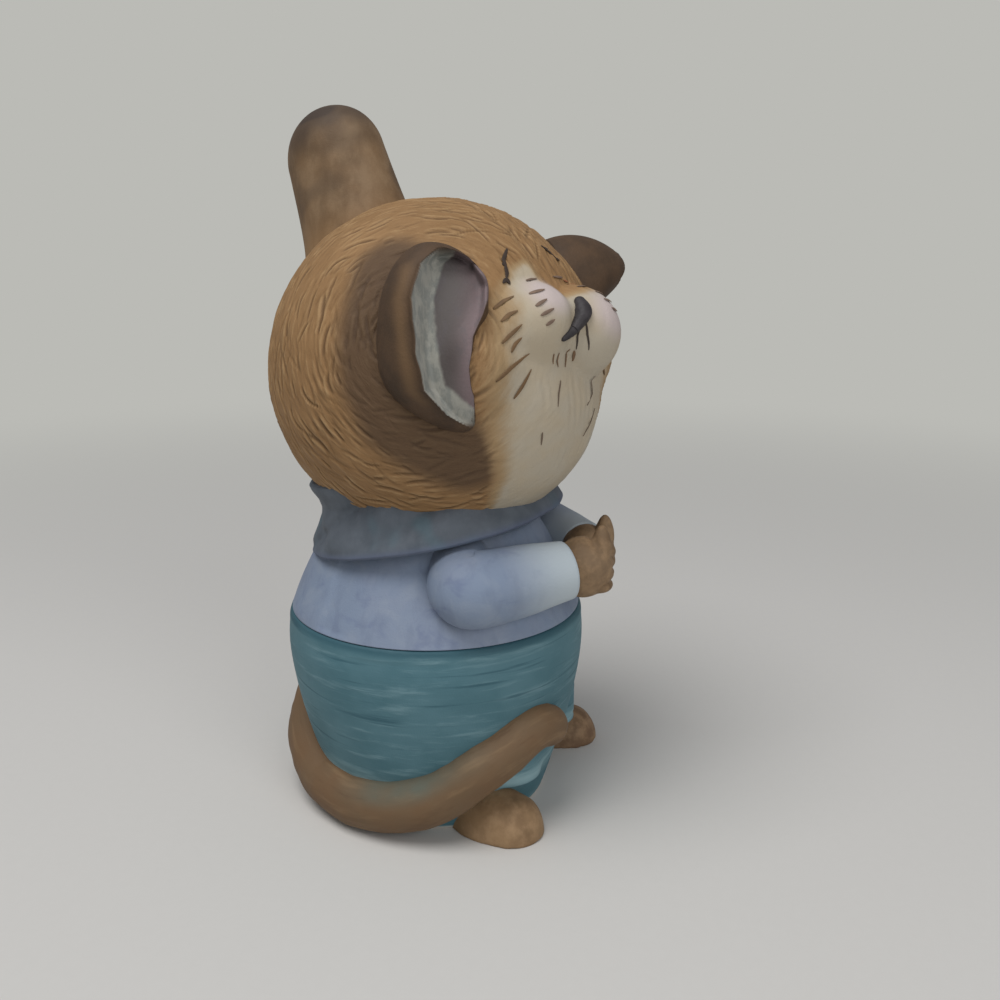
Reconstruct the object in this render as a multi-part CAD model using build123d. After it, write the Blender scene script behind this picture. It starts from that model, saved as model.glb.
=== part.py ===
from build123d import *
from math import radians, cos, sin
import os

# A dressed mouse in unglazed porcelain. It stands on z = 0 over the origin and faces -Y, so its left side
# is +X. All lengths are millimetres and all angles are degrees. Sizes lower down hang on those above them,
# so that a change of one carries the pieces that sit on it.

# Overall
stance_shift = 2.2
wall = 2.4
seat_gap = 0.05
overrun = 5.0
ball_share = 1.012

# Trousers: the round lower body and its legs
hip_radius = 15.7
base_taper = 3.9
waist_taper = 0.2
waist_height = 21.2
hip_below_waist = 6.2
floor_thickness = 2.6
vent_diameter = 4.0
vent_back_shift = 3.0
leg_radius = 3.9
leg_length = 7.0
leg_inset = 6.4
leg_side_inset = 8.9
cuff_height = 4.2
base_radius = hip_radius - base_taper
waist_radius = hip_radius - waist_taper
hip_height = waist_height - hip_below_waist
leg_forward = hip_radius - leg_inset
leg_side = hip_radius - leg_side_inset

# Torso: the shirt body and the neck on top of it
chest_taper = 1.6
chest_rise = 3.4
shoulder_taper = 5.1
shoulder_rise = 9.8
neck_radius = 6.4
neck_length = 5.2
neck_bore = 3.6
chest_radius = hip_radius - chest_taper
chest_height = waist_height + chest_rise
shoulder_radius = hip_radius - shoulder_taper
shoulder_height = waist_height + shoulder_rise

# Collar: a cape that drops at the back, with a rolled rim
collar_tilt = 12.0
collar_wall = 1.1
collar_rise = 3.2
cape_overhang = 3.9
cape_drop = 5.3
roll_overhang = 2.3
roll_height = 2.8
roll_round = 0.8
cape_radius = shoulder_radius + cape_overhang
roll_radius = shoulder_radius + roll_overhang
collar_height = shoulder_height + collar_rise

# Head: a ball with a jaw, cheeks, muzzle pads and a nose bridge in front
head_radius = 17.1
head_wall = 2.6
head_sink = 2.1
head_forward = 0.5
head_turn = 22.0
head_lift = 19.5
head_roll = 3.0
jaw_inset = 4.7
jaw_forward = 4.2
jaw_drop = 3.6
cheek_radius = 6.0
cheek_side = 6.4
cheek_inset = 7.3
cheek_drop = 1.4
pad_width = 3.9
pad_depth = 4.6
pad_height = 4.1
pad_side = 3.4
pad_inset = 1.3
pad_rise = 0.3
bridge_width = 3.6
bridge_length = 6.6
bridge_height = 3.2
bridge_inset = 5.5
bridge_rise = 3.2
bridge_slope = 26.0
head_centre_height = shoulder_height + head_radius - head_sink
jaw_radius = head_radius - jaw_inset
cheek_forward = head_radius - cheek_inset
pad_forward = head_radius - pad_inset
bridge_forward = head_radius - bridge_inset

# Nose
nose_width = 2.5
nose_height = 1.5
nose_depth = 1.6
nose_stand = 1.3
nose_rise = 0.1
nose_forward = head_radius + nose_stand

# Ears: cups that stand on the sides of the head
ear_width = 5.0
ear_height = 8.6
ear_stand = 5.4
ear_inset = 1.3
right_ear_azimuth = 45.0
left_ear_azimuth = 60.0
ear_elevation = 6.0
ear_lean = 16.0
right_ear_flare = 12.0
left_ear_flare = 33.0
hollow_width = 3.3
hollow_height = 7.6
hollow_depth = 4.4
hollow_forward = 1.0
hollow_out = 5.0
ear_seat_radius = head_radius - ear_inset

# Crown tuft
tuft_width = 5.6
tuft_thickness = 4.2
tuft_root_width = 6.6
tuft_root_thickness = 5.6
tuft_stand = 12.9
tuft_root_inset = 4.1
tuft_back = 6.0
tuft_height = head_radius + tuft_stand
tuft_root_height = head_radius - tuft_root_inset

# Arms in their sleeves
upper_arm_radius = 3.1
elbow_radius = 3.7
wrist_radius = 2.9
shoulder_side_inset = 3.0
shoulder_front_inset = 4.1
elbow_side_inset = 1.9
elbow_front_inset = 5.7
elbow_drop = 4.5
wrist_side = 4.8
wrist_reach = 1.7
wrist_drop = 3.6

# Paws
paw_radius = 2.4
paw_length = 2.6
paw_height = 3.5
paw_reach = 2.0
thumb_radius = 1.15
thumb_height = 2.3
finger_radius = 0.95
paws_apart = 0.15

# Feet
foot_width = 3.7
foot_length = 5.3
foot_height = 4.2
foot_inset = 6.0
foot_side_inset = 5.2
foot_turn = 12.0
foot_forward = hip_radius - foot_inset
foot_side = hip_radius - foot_side_inset

# Tail
tail_radius = 2.8
tail_inset = 2.6
tail_tip_below_hip = 3.8
tail_ring_radius = hip_radius - tail_inset
tail_rise_height = hip_height - tail_tip_below_hip


def ellipsoid(x_radius, y_radius, z_radius):
    """A ball drawn out to three radii."""
    return scale(Sphere(1), by=(x_radius, y_radius, z_radius))


def ball_chain(points, radii):
    """A limb of round sections: cones, and balls at the joints, a little fuller so that they cross cleanly."""
    limb = Pos(*points[0]) * Sphere(radii[0] * ball_share)
    for start, end, r0, r1 in zip(points, points[1:], radii, radii[1:]):
        run = Vector(*end) - Vector(*start)
        plane = Plane(origin=start, z_dir=run)
        limb += loft([plane * Circle(r0), plane.offset(run.length) * Circle(r1)])
        limb += Pos(*end) * Sphere(r1 * ball_share)
    return limb


def body_profile(inset):
    """Half section of the body from the base to the shoulder, drawn in by an inset."""
    return [
        (base_radius - inset, inset),
        (hip_radius - inset, hip_height),
        (waist_radius - inset, waist_height),
        (chest_radius - inset, chest_height),
        (shoulder_radius - inset, shoulder_height),
    ]


def body_of_turn(inset, low, high):
    """The round body between two heights, drawn in by an inset."""
    base, hip, waist, chest, shoulder = body_profile(inset)
    with BuildPart() as part:
        with BuildSketch(Plane.YZ):
            with BuildLine():
                side = Spline(base, hip, waist, chest, shoulder)
                Line(shoulder, (0, shoulder[1]))
                Line((0, shoulder[1]), (0, base[1]))
                Line((0, base[1]), base)
            make_face()
        revolve(axis=Axis.Z)
    band = Pos(0, 0, (low + high) / 2) * Cylinder(hip_radius + overrun, high - low)
    return part.part & band


def head_place():
    """Where the head's own frame stands on the body: nose along -Y, crown along +Z."""
    turned = Rot(0, 0, -head_turn) * Rot(0, -head_roll, 0) * Rot(-head_lift, 0, 0)
    return Pos(0, -head_forward, head_centre_height) * turned


def face_forms():
    """Jaw, cheeks, muzzle pads and the bridge of the nose, all to be joined to the skull."""
    forms = [Pos(0, -jaw_forward, -jaw_drop) * Sphere(jaw_radius)]
    for side in (-1, 1):
        forms.append(Pos(side * cheek_side, -cheek_forward, -cheek_drop) * Sphere(cheek_radius))
        pad = ellipsoid(pad_width, pad_depth, pad_height)
        forms.append(Pos(side * pad_side, -pad_forward, pad_rise) * pad)
    bridge = ellipsoid(bridge_width, bridge_length, bridge_height)
    forms.append(Pos(0, -bridge_forward, bridge_rise) * Rot(bridge_slope, 0, 0) * bridge)
    return forms


def neck_outer():
    """The neck spigot, which the head's socket fits over."""
    top = shoulder_height + neck_length
    low = shoulder_height - wall
    return Pos(0, 0, (low + top) / 2) * Cylinder(neck_radius, top - low)


def head_mass():
    """The head's outside in its own frame, before it is hollowed."""
    return Sphere(head_radius).fuse(*face_forms())


def make_head(skull):
    """The head casting: hollow, with a socket that the neck fits in."""
    socket_top = head_centre_height
    socket_low = head_centre_height - head_radius - overrun
    socket_middle = Pos(0, 0, (socket_top + socket_low) / 2)
    socket = socket_middle * Cylinder(neck_radius + seat_gap, socket_top - socket_low)
    hollow = Sphere(head_radius - head_wall)
    return head_place() * (skull - hollow - nose_button()) - socket


def nose_button():
    """The nose button between the pads, in the head's own frame."""
    return Pos(0, -nose_forward, nose_rise) * ellipsoid(nose_width, nose_depth, nose_height)


def ear_place(side):
    """An ear's own frame on the head: out along +Z, its top along +Y."""
    azimuth = radians(right_ear_azimuth if side < 0 else left_ear_azimuth)
    elevation = radians(ear_elevation)
    level = cos(elevation)
    out = Vector(side * sin(azimuth) * level, -cos(azimuth) * level, sin(elevation))
    seat = out * ear_seat_radius
    up = Vector(0, -sin(radians(ear_lean)), cos(radians(ear_lean)))
    across = up.cross(out).normalized()
    return head_place() * Plane(origin=seat, x_dir=across, z_dir=out).location


def make_ear(side, mass):
    """A cupped ear, seated on the side of the head."""
    cup = ellipsoid(ear_width, ear_height, ear_stand)
    hollow = ellipsoid(hollow_width, hollow_height, hollow_depth)
    hollow = Pos(-side * hollow_forward, 0, hollow_out) * hollow
    flare = right_ear_flare if side < 0 else left_ear_flare
    return ear_place(side) * Rot(flare, 0, 0) * (cup - hollow) - mass


def make_tuft(mass):
    """The upright lobe on the crown, wider at its root and round at its end."""
    low = Plane.XY.offset(tuft_root_height)
    rounding = tuft_width
    high = Plane.XY.offset(tuft_height - rounding)
    root = low * Ellipse(tuft_root_thickness, tuft_root_width)
    stem = loft([root, high * Ellipse(tuft_thickness, tuft_width)])
    cap = Pos(0, 0, tuft_height - rounding) * ellipsoid(tuft_thickness, tuft_width, rounding)
    return head_place() * Pos(0, tuft_back, 0) * (stem + cap) - mass


def leg_solid(side):
    """One short trouser leg, from inside the body down to its cuff."""
    place = Pos(stance_shift + side * leg_side, -leg_forward, cuff_height + leg_length / 2)
    return place * Cylinder(leg_radius, leg_length)


def trousers_outside():
    """The lower body and its two legs, before they are hollowed."""
    outside = body_of_turn(0, 0, waist_height)
    for side in (-1, 1):
        outside += leg_solid(side)
    return outside


def make_trousers(outside):
    """The lower body, hollow, with a flat base and a vent."""
    hollow = body_of_turn(wall, floor_thickness, waist_height + overrun)
    vent = Cylinder(vent_diameter / 2, floor_thickness + overrun)
    vent = Pos(0, vent_back_shift, floor_thickness / 2) * vent
    return outside - hollow - vent


def make_torso(head):
    """The shirt body, hollow, seated on the trousers' rim, with the neck on top."""
    outer = body_of_turn(0, waist_height, shoulder_height) + neck_outer()
    hollow = body_of_turn(wall, 0, shoulder_height - wall)
    bore = Pos(0, 0, shoulder_height) * Cylinder(neck_bore, 2 * neck_length + 2 * wall)
    return outer - hollow - bore - head


def collar_mass(inset):
    """The collar's outside filled to the middle, drawn in by an inset."""
    cape, roll = cape_radius - inset, roll_radius - inset
    outline = Polyline(
        (0, -cape_drop),
        (cape, -cape_drop),
        (roll - roll_round, 0),
        (roll, roll_height),
        (0, roll_height),
        close=True,
    )
    solid = revolve(Plane.XZ * make_face(outline), Axis.Z)
    return Pos(0, 0, collar_height) * Rot(-collar_tilt, 0, 0) * solid


def make_collar(torso_mass, head_solid):
    """The collar: a cape on the shoulders with a rolled rim, lower at the back."""
    return collar_mass(0) - collar_mass(collar_wall) - torso_mass - head_solid


def sleeve_joints(side):
    """Shoulder, elbow and wrist of one arm."""
    shoulder_side = shoulder_radius - shoulder_side_inset
    shoulder_front = shoulder_radius - shoulder_front_inset
    elbow_side = chest_radius - elbow_side_inset
    elbow_front = chest_radius - elbow_front_inset
    wrist_front = chest_radius + wrist_reach
    shoulder = (side * shoulder_side, -shoulder_front, shoulder_height)
    elbow = (side * elbow_side, -elbow_front, shoulder_height - elbow_drop)
    wrist = (side * wrist_side, -wrist_front, shoulder_height - wrist_drop)
    return shoulder, elbow, wrist


def wrist_plane(side):
    """The plane of the cuff, square to the forearm."""
    shoulder, elbow, wrist = sleeve_joints(side)
    return Plane(origin=wrist, z_dir=Vector(*wrist) - Vector(*elbow))


def beyond(plane):
    """A block that fills everything beyond a plane."""
    size = 2 * hip_radius
    return plane.offset(size / 2).location * Box(size, size, size)


def make_sleeve(side, taken, head):
    """A bent arm in its sleeve, cut off square at the cuff: the right one, mirrored for the left."""
    arm = ball_chain(sleeve_joints(-1), (upper_arm_radius, elbow_radius, wrist_radius))
    arm -= beyond(wrist_plane(-1))
    for other in taken:
        arm -= other
    if side > 0:
        arm = mirror(arm, Plane.YZ)
    return arm - head


def make_paw(side):
    """A closed paw with its thumb up, seated on the cuff."""
    plane = wrist_plane(side)
    centre = plane.offset(paw_reach).origin
    paw = Pos(*centre) * ellipsoid(paw_radius, paw_length, paw_height)
    thumb = Pos(centre.X, centre.Y - paw_length / 2, centre.Z + thumb_height)
    paw += thumb * ellipsoid(thumb_radius, thumb_radius, 2 * thumb_radius)
    for step in (-1, 0, 1):
        knuckle_y = centre.Y - paw_length + finger_radius / 2
        knuckle_z = centre.Z + step * 2 * finger_radius
        paw += Pos(centre.X, knuckle_y, knuckle_z) * Sphere(finger_radius)
    paw &= beyond(plane)
    size = 2 * hip_radius
    half_space = Pos(side * (size / 2 + paws_apart), centre.Y, centre.Z) * Box(size, size, size)
    return paw & half_space


def make_foot(side, taken):
    """A foot with a flat sole, toes forward."""
    size = 4 * foot_length
    above_floor = Pos(0, 0, size / 2) * Box(size, size, size)
    place = Pos(stance_shift + side * foot_side, -foot_forward, 0) * Rot(0, 0, side * foot_turn)
    foot = place * (ellipsoid(foot_width, foot_length, foot_height) & above_floor)
    for other in taken:
        foot -= other
    return foot


def tail_route():
    """Centres and radii along the tail, from its root behind to its tip over the right leg."""
    turn_degrees = (92, 114, 140, 165, 186, 203, 217, 229, 240, 250)
    rise_shares = (0.6, 0.28, 0, 0, 0.09, 0.28, 0.58, 0.82, 1, 0.94)
    ring_shares = (1.1, 1.06, 1, 1, 1.02, 1.06, 1.11, 1.15, 1.17, 1.16)
    radius_shares = (1.05, 1.04, 1, 1, 1, 0.98, 0.94, 0.9, 0.85, 0.76)
    low = tail_radius * ball_share
    places = []
    for turn, share, ring in zip(turn_degrees, rise_shares, ring_shares):
        along = Vector(tail_ring_radius * ring, 0, 0).rotate(Axis.Z, turn)
        places.append(along + Vector(0, 0, low + share * (tail_rise_height - low)))
    return places, [tail_radius * share for share in radius_shares]


def make_tail(taken):
    """The tail, pressed against the trousers so that it is flat where it meets them."""
    places, radii = tail_route()
    tail = ball_chain([tuple(place) for place in places], radii)
    for other in taken:
        tail -= other
    return tail


def main():
    """Make every piece and write each to its own file."""
    skull = head_mass()
    mass = head_place() * skull
    head = make_head(skull)
    trousers_mass = trousers_outside()
    trousers = make_trousers(trousers_mass)
    torso = make_torso(head)
    torso_mass = body_of_turn(0, 0, shoulder_height) + neck_outer()
    collar = make_collar(torso_mass, mass)
    tail = make_tail([trousers_mass])
    nodes = {
        "trousers": trousers,
        "torso": torso,
        "collar": collar,
        "head": head,
        "nose": head_place() * nose_button(),
        "crown_tuft": make_tuft(mass),
        "tail": tail,
    }
    for side, name in ((-1, "right"), (1, "left")):
        nodes[name + "_ear"] = make_ear(side, mass)
        nodes[name + "_sleeve"] = make_sleeve(side, [torso_mass, collar_mass(0)], mass)
        nodes[name + "_paw"] = make_paw(side)
        nodes[name + "_foot"] = make_foot(side, [trousers_mass, tail])
    os.makedirs("parts", exist_ok=True)
    for name, shape in nodes.items():
        export_step(shape, f"parts/{name}.step")


main()
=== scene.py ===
import math

import bpy
import numpy as np
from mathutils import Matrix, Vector


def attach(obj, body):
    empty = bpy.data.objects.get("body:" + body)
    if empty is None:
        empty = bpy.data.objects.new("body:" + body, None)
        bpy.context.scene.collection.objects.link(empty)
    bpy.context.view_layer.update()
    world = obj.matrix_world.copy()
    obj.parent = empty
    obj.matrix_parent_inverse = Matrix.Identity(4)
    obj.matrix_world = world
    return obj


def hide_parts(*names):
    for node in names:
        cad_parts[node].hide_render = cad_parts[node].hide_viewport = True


bl_info = {
    "name": "Porcelain mouse",
    "version": (1, 0, 0),
    "blender": (4, 5, 0),
    "location": "View3D > Sidebar > Porcelain mouse",
    "description": "Builds a small standing mouse of matt painted porcelain, with its stage",
    "category": "Add Mesh",
}

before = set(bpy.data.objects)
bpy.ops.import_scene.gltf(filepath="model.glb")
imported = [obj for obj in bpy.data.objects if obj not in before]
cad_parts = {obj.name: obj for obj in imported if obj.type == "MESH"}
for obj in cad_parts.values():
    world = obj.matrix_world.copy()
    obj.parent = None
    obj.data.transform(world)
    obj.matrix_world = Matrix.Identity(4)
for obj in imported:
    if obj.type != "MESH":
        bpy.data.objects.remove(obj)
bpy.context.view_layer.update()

# Shapes are worked out in millimetres in the frame's own axes and written in metres.
MM = 0.001
SIDES = (("right", -1), ("left", 1))

# The camera: its turn about Z, its tilt down, its distance from the figure's axis and its height. Its picture
# is 1000 pixels wide, its lens 1003 pixels long, and it looks 67 pixels to the right of the axis.
CAMERA_TURN, CAMERA_DOWN = math.radians(-67), math.radians(14.4)
CAMERA_AWAY, CAMERA_HEIGHT = 104.0, 58.7
PICTURE, LENS, LOOK_ASIDE = 1000, 1003, 67


# Numbers and curves

def turned_about(axis, degrees):
    """A turn about X, Y or Z as a 3 by 3 matrix: the plane square to the axis is turned by the angle."""
    c, s = math.cos(math.radians(degrees)), math.sin(math.radians(degrees))
    return np.array({
        "X": [[1, 0, 0], [0, c, -s], [0, s, c]],
        "Y": [[c, 0, s], [0, 1, 0], [-s, 0, c]],
        "Z": [[c, -s, 0], [s, c, 0], [0, 0, 1]],
    }[axis])


def unit(vectors):
    """Each vector divided by its length."""
    vectors = np.asarray(vectors, float)
    return vectors / np.linalg.norm(vectors, axis=-1, keepdims=True)


def ramp(low, high, value):
    """A smooth step: 3t^2 - 2t^3, where t is how far the value is from low to high, held to 0 and 1."""
    t = np.clip((value - low) / (high - low), 0, 1)
    return t * t * (3 - 2 * t)


def bell(value, middle, width):
    """1 at the middle and falling off as e to the minus square of the distance in widths."""
    return np.exp(-((value - middle) / width) ** 2)


def soft_max(values, soft):
    """The largest of several arrays with rounded creases: soft times the log of the summed exponentials."""
    values = np.stack(values)
    top = values.max(0)
    return top + soft * np.log(np.exp((values - top) / soft).sum(0))


def soft_min(values, soft):
    """The smallest of several arrays with rounded creases."""
    return -soft_max([-value for value in values], soft)


def through(knots, values, where):
    """A natural cubic spline through the values at the knots, read at the given places."""
    knots, values = np.asarray(knots, float), np.asarray(values, float)
    n = len(knots)
    gap = np.diff(knots)
    system = np.eye(n)
    inner = np.arange(1, n - 1)
    system[inner, inner - 1] = gap[:-1]
    system[inner, inner] = 2 * (gap[:-1] + gap[1:])
    system[inner, inner + 1] = gap[1:]
    slope = np.diff(values, axis=0) / (gap if values.ndim == 1 else gap[:, None])
    right = np.zeros_like(values)
    right[1:-1] = 3 * np.diff(slope, axis=0)
    bend = np.linalg.solve(system, right)
    i = np.clip(np.searchsorted(knots, where, side="right") - 1, 0, n - 2)
    t, h = where - knots[i], gap[i]
    if values.ndim > 1:
        t, h = t[:, None], h[:, None]
    b = slope[i] - h * (2 * bend[i] + bend[i + 1]) / 3
    return values[i] + t * (b + t * (bend[i] + t * (bend[i + 1] - bend[i]) / (3 * h)))


def lumps(points, cell, seed):
    """Smooth random lumps from -1 to 1: random numbers at the corners of cubes of one cell, blended between
    them."""
    table = np.random.default_rng(seed).uniform(-1, 1, 8192)
    q = np.asarray(points, float) / cell
    base = np.floor(q).astype(np.int64)
    f = q - base
    f = f * f * (3 - 2 * f)
    total = 0
    for corner in range(8):
        step = np.array([corner & 1, corner >> 1 & 1, corner >> 2 & 1])
        place = base + step
        key = (place[..., 0] * 73856093) ^ (place[..., 1] * 19349663) ^ (place[..., 2] * 83492791)
        share = np.prod(np.where(step == 1, f, 1 - f), axis=-1)
        total = total + table[key & 8191] * share
    return total


def points_at(x, y, z):
    """Points from arrays or numbers that fit one grid."""
    return np.stack(np.broadcast_arrays(x, y, z), -1)


def around_z(radius, angle, z):
    """Points from their radius, their angle about Z and their height."""
    return points_at(radius * np.cos(angle), radius * np.sin(angle), z)


def angles(columns):
    """The angles of a ring of columns, as one row."""
    return np.arange(columns)[None, :] / columns * 2 * np.pi


def ray_grid(n, m):
    """Unit rays on a grid from the top pole to the bottom one: the sine of the tilt times the circle, and its
    cosine."""
    tilt = (np.arange(n) + 0.5)[:, None] / n * np.pi
    return around_z(np.sin(tilt), angles(m), np.cos(tilt))


def ball_reach(rays, centre, radii, slope=0):
    """How far each unit ray from the origin goes before it leaves an ellipsoid that is sloped about X: the
    larger root of the quadratic for the ray in the ellipsoid's own unit space, and 0 where the ray misses
    it."""
    turn, radii = turned_about("X", slope), np.asarray(radii, float)
    d = (rays @ turn) / radii
    c = (np.asarray(centre, float) @ turn) / radii
    a, b = (d * d).sum(-1), d @ c
    k = b * b - a * (c @ c - 1)
    return np.where(k > 0, (b + np.sqrt(np.maximum(k, 0))) / a, 0.0)


def star(rays, forms, soft):
    """The soft union of ellipsoids seen from one point inside them, as a radius along each ray."""
    return soft_max([ball_reach(rays, *form) for form in forms], soft)


def wall_reach(toward, gap):
    """How far rays go to a flat wall: the gap over the share of each ray that points at the wall, or far if
    none."""
    return np.where(toward > 0, gap / np.maximum(toward, 1e-6), 99)


# Meshes

def write_mesh(name, points, corners, starts, sizes):
    """A mesh from points in metres, the point of each corner, and each face's first corner and number of
    corners."""
    mesh = bpy.data.meshes.new(name)
    mesh.vertices.add(len(points))
    mesh.loops.add(len(corners))
    mesh.polygons.add(len(starts))
    mesh.vertices.foreach_set("co", points.astype(np.float32).ravel())
    mesh.loops.foreach_set("vertex_index", corners.astype(np.int32))
    mesh.polygons.foreach_set("loop_start", starts.astype(np.int32))
    mesh.polygons.foreach_set("loop_total", sizes.astype(np.int32))
    return mesh


def closed_mesh(name, rows, low=None, high=None, loop=False, uv=None):
    """A closed surface from rows of points. Each row closes on itself, the rows close into a ring if loop is
    set, and otherwise each end closes onto a pole. uv has one more column than the rows, so that it can have
    a seam. The faces are turned outwards if the volume under them comes out negative."""
    n, m = rows.shape[:2]
    points = [rows.reshape(-1, 3)]
    i = np.arange(n if loop else n - 1)[:, None]
    j = np.arange(m)[None, :]
    following, beside = (i + 1) % n, (j + 1) % m
    corners = [np.stack([i * m + j, i * m + beside, following * m + beside, following * m + j], -1).ravel()]
    sizes = [np.full(len(corners[0]) // 4, 4)]
    if uv is not None:
        square = np.stack([uv[i, j], uv[i, j + 1], uv[following, j + 1], uv[following, j]], 2)
        corner_uv = [square.reshape(-1, 2)]
    around = np.arange(m)
    for pole, row in () if loop else ((low, 0), (high, n - 1)):
        first, second = row * m + around, row * m + (around + 1) % m
        if row == 0:
            first, second = second, first
        corners.append(np.stack([first, second, np.full(m, n * m + len(points) - 1)], -1).ravel())
        sizes.append(np.full(m, 3))
        points.append(np.asarray(pole, float).reshape(1, 3))
        if uv is not None:
            ends = (uv[row, 1:], uv[row, :-1]) if row == 0 else (uv[row, :-1], uv[row, 1:])
            corner_uv.append(np.stack([*ends, (ends[0] + ends[1]) / 2], 1).reshape(-1, 2))
    points, corners, sizes = np.concatenate(points), np.concatenate(corners), np.concatenate(sizes)
    starts = np.cumsum(sizes) - sizes
    first, volume = points[corners[starts]], 0.0
    for k in (1, 2):
        second, third = points[corners[starts + k]], points[corners[starts + (k + 1) % sizes]]
        volume += (first * np.cross(second, third)).sum()
    mesh = write_mesh(name, points * MM, corners, starts, sizes)
    if uv is not None:
        layer = mesh.uv_layers.new(name="UVMap")
        layer.data.foreach_set("uv", np.concatenate(corner_uv).astype(np.float32).ravel())
    mesh.update(calc_edges=True)
    if volume < 0:
        mesh.flip_normals()
    return mesh


def add_piece(name, mesh, material, nodes=()):
    """A smooth piece of the fired figure with its finish, in place of the CAD nodes that it dresses."""
    mesh.polygons.foreach_set("use_smooth", np.ones(len(mesh.polygons), bool))
    mesh.validate()
    mesh.materials.append(material)
    piece = bpy.data.objects.new(name, mesh)
    bpy.context.scene.collection.objects.link(piece)
    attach(piece, "root")
    if nodes:
        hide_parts(*nodes)


def skin(name, rows, slot, material, node, poles=(None, None), loop=False, uv=None, fields=None):
    """One closed surface as a piece, with the fields that its finish reads stored on its points."""
    mesh = closed_mesh(name, rows, *poles, loop, uv)
    for field, values in (fields or {}).items():
        values = np.broadcast_to(np.asarray(values, float), rows.shape[:2]).ravel()
        at_poles = np.full(len(mesh.vertices) - len(values), values.mean())
        attribute = mesh.attributes.new(field, "FLOAT", "POINT")
        attribute.data.foreach_set("value", np.concatenate([values, at_poles]).astype(np.float32))
    add_piece(name, mesh, material, (node,))


def read_out(items, key, kind, width=1):
    """One property of all of a mesh's points, corners or faces, as an array."""
    values = np.zeros(len(items) * width, kind)
    items.foreach_get(key, values)
    return values


def joined(name, strips, material):
    """Several closed strips in one piece, each with its own poles."""
    points, corners, starts, sizes = [], [], [], []
    points_so_far, corners_so_far = 0, 0
    for rows, low, high in strips:
        part = closed_mesh(name + "_part", rows, low, high)
        points.append(read_out(part.vertices, "co", float, 3))
        corners.append(read_out(part.loops, "vertex_index", np.int32) + points_so_far)
        starts.append(read_out(part.polygons, "loop_start", np.int32) + corners_so_far)
        sizes.append(read_out(part.polygons, "loop_total", np.int32))
        points_so_far += len(part.vertices)
        corners_so_far += len(part.loops)
        bpy.data.meshes.remove(part)
    arrays = [np.concatenate(values) for values in (points, corners, starts, sizes)]
    mesh = write_mesh(name, arrays[0].reshape(-1, 3), *arrays[1:])
    mesh.update(calc_edges=True)
    add_piece(name, mesh, material)


CAP_ROWS = 8


def tube(path, radii, columns, flatten=1.0):
    """A round limb: at each point of the path a circle square to the path, its height share given by flatten.
    Half balls close both ends, so the end rows shrink as a cosine while they move on along the path as a
    sine. Returns the rows, the outward directions at their points, and the two poles."""
    along = unit(np.gradient(path, axis=0))
    side = unit(np.cross(along, [0, 0, 1]))
    up = np.cross(side, along)
    cap = np.radians(np.linspace(0, 82, CAP_ROWS + 1))[1:]
    ends = []
    for end, sign in ((0, -1), (-1, 1)):
        centres = path[end] + sign * radii[end] * np.sin(cap)[:, None] * along[end]
        axes = (np.repeat(axis[end][None], CAP_ROWS, 0) for axis in (side, up))
        ends.append([centres, radii[end] * np.cos(cap), *axes])
    start, finish = ends
    start[:2] = [values[::-1] for values in start[:2]]
    middle = (path, radii, side, up)
    centres, spans, side, up = (np.concatenate(parts) for parts in zip(start, middle, finish))
    a = angles(columns)[..., None]
    ring = np.cos(a) * side[:, None] + flatten * np.sin(a) * up[:, None]
    poles = path[0] - radii[0] * along[0], path[-1] + radii[-1] * along[-1]
    return centres[:, None] + spans[:, None, None] * ring, ring, poles


def flat_map(columns, width, lengths):
    """UV in centimetres, from the width that the columns share and the length at which each row lies."""
    return np.stack(np.meshgrid(np.linspace(0, width, columns + 1), lengths), -1) / 10


def cloth_map(rows, width):
    """UV in centimetres: round the body by the width, and along the rows by the length walked over the
    surface."""
    walked = np.cumsum(np.linalg.norm(np.diff(rows[:, 0], axis=0), axis=-1))
    return flat_map(rows.shape[1], width, np.concatenate([[0], walked]))


# Materials

class Amount:
    """A number socket of a material, on which the usual sums add Math nodes."""

    def __init__(self, bench, socket):
        self.bench, self.socket = bench, socket

    def sum(self, operation, a, b):
        node = self.bench.node("ShaderNodeMath", {"operation": operation}, {0: a, 1: b})
        return Amount(self.bench, node.outputs[0])

    def __add__(self, other):
        return self.sum("ADD", self, other)

    def __radd__(self, other):
        return self.sum("ADD", other, self)

    def __sub__(self, other):
        return self.sum("SUBTRACT", self, other)

    def __rsub__(self, other):
        return self.sum("SUBTRACT", other, self)

    def __mul__(self, other):
        return self.sum("MULTIPLY", self, other)

    def __rmul__(self, other):
        return self.sum("MULTIPLY", other, self)

    def between(self, low, high):
        """0 at low, 1 at high and smooth between them."""
        node = self.bench.node("ShaderNodeMapRange", {"interpolation_type": "SMOOTHSTEP", "clamp": True},
                               {"Value": self, "From Min": low, "From Max": high})
        return Amount(self.bench, node.outputs[0])


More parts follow.
